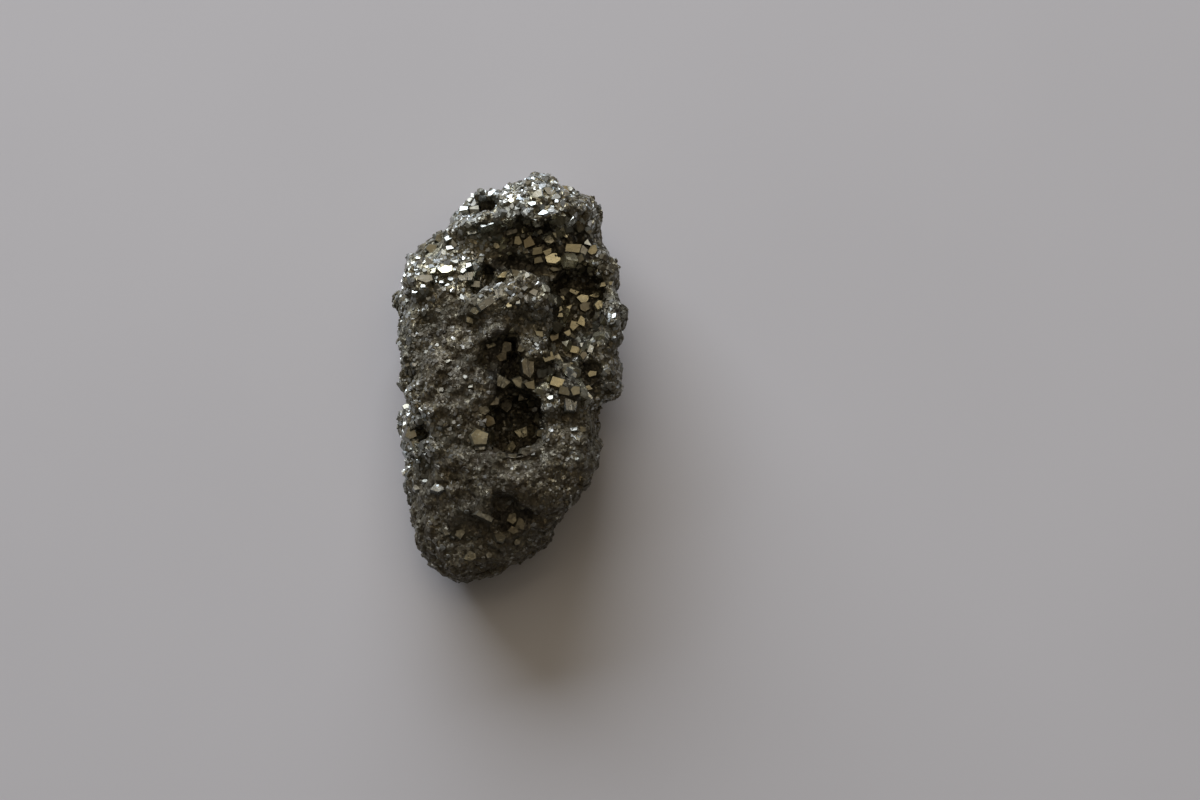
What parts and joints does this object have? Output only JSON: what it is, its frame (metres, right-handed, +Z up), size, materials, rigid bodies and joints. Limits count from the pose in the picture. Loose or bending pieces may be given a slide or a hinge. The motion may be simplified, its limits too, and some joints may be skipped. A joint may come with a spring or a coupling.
{
  "type": "pyrite specimen",
  "caption": "Rough lump of intergrown brassy pyrite crystals with open crystal-lined vugs on top and a flat broken foot.",
  "frame": {"origin": "on the ground, under the middle of the specimen's box; the flat broken foot lies on the ground", "axes": "+X across the width, +Y along the length towards the pointed crown, +Z up from the foot to the vugs"},
  "size_m": [0.0289, 0.0496, 0.0196],
  "materials": {
    "pyrite": "natural pyrite: brassy metallic crystal faces, with grey-brown tarnish on the fine-grained skin"
  },
  "bodies": {
    "root": {"pyrite_cluster": "pyrite"}
  },
  "joints": []
}
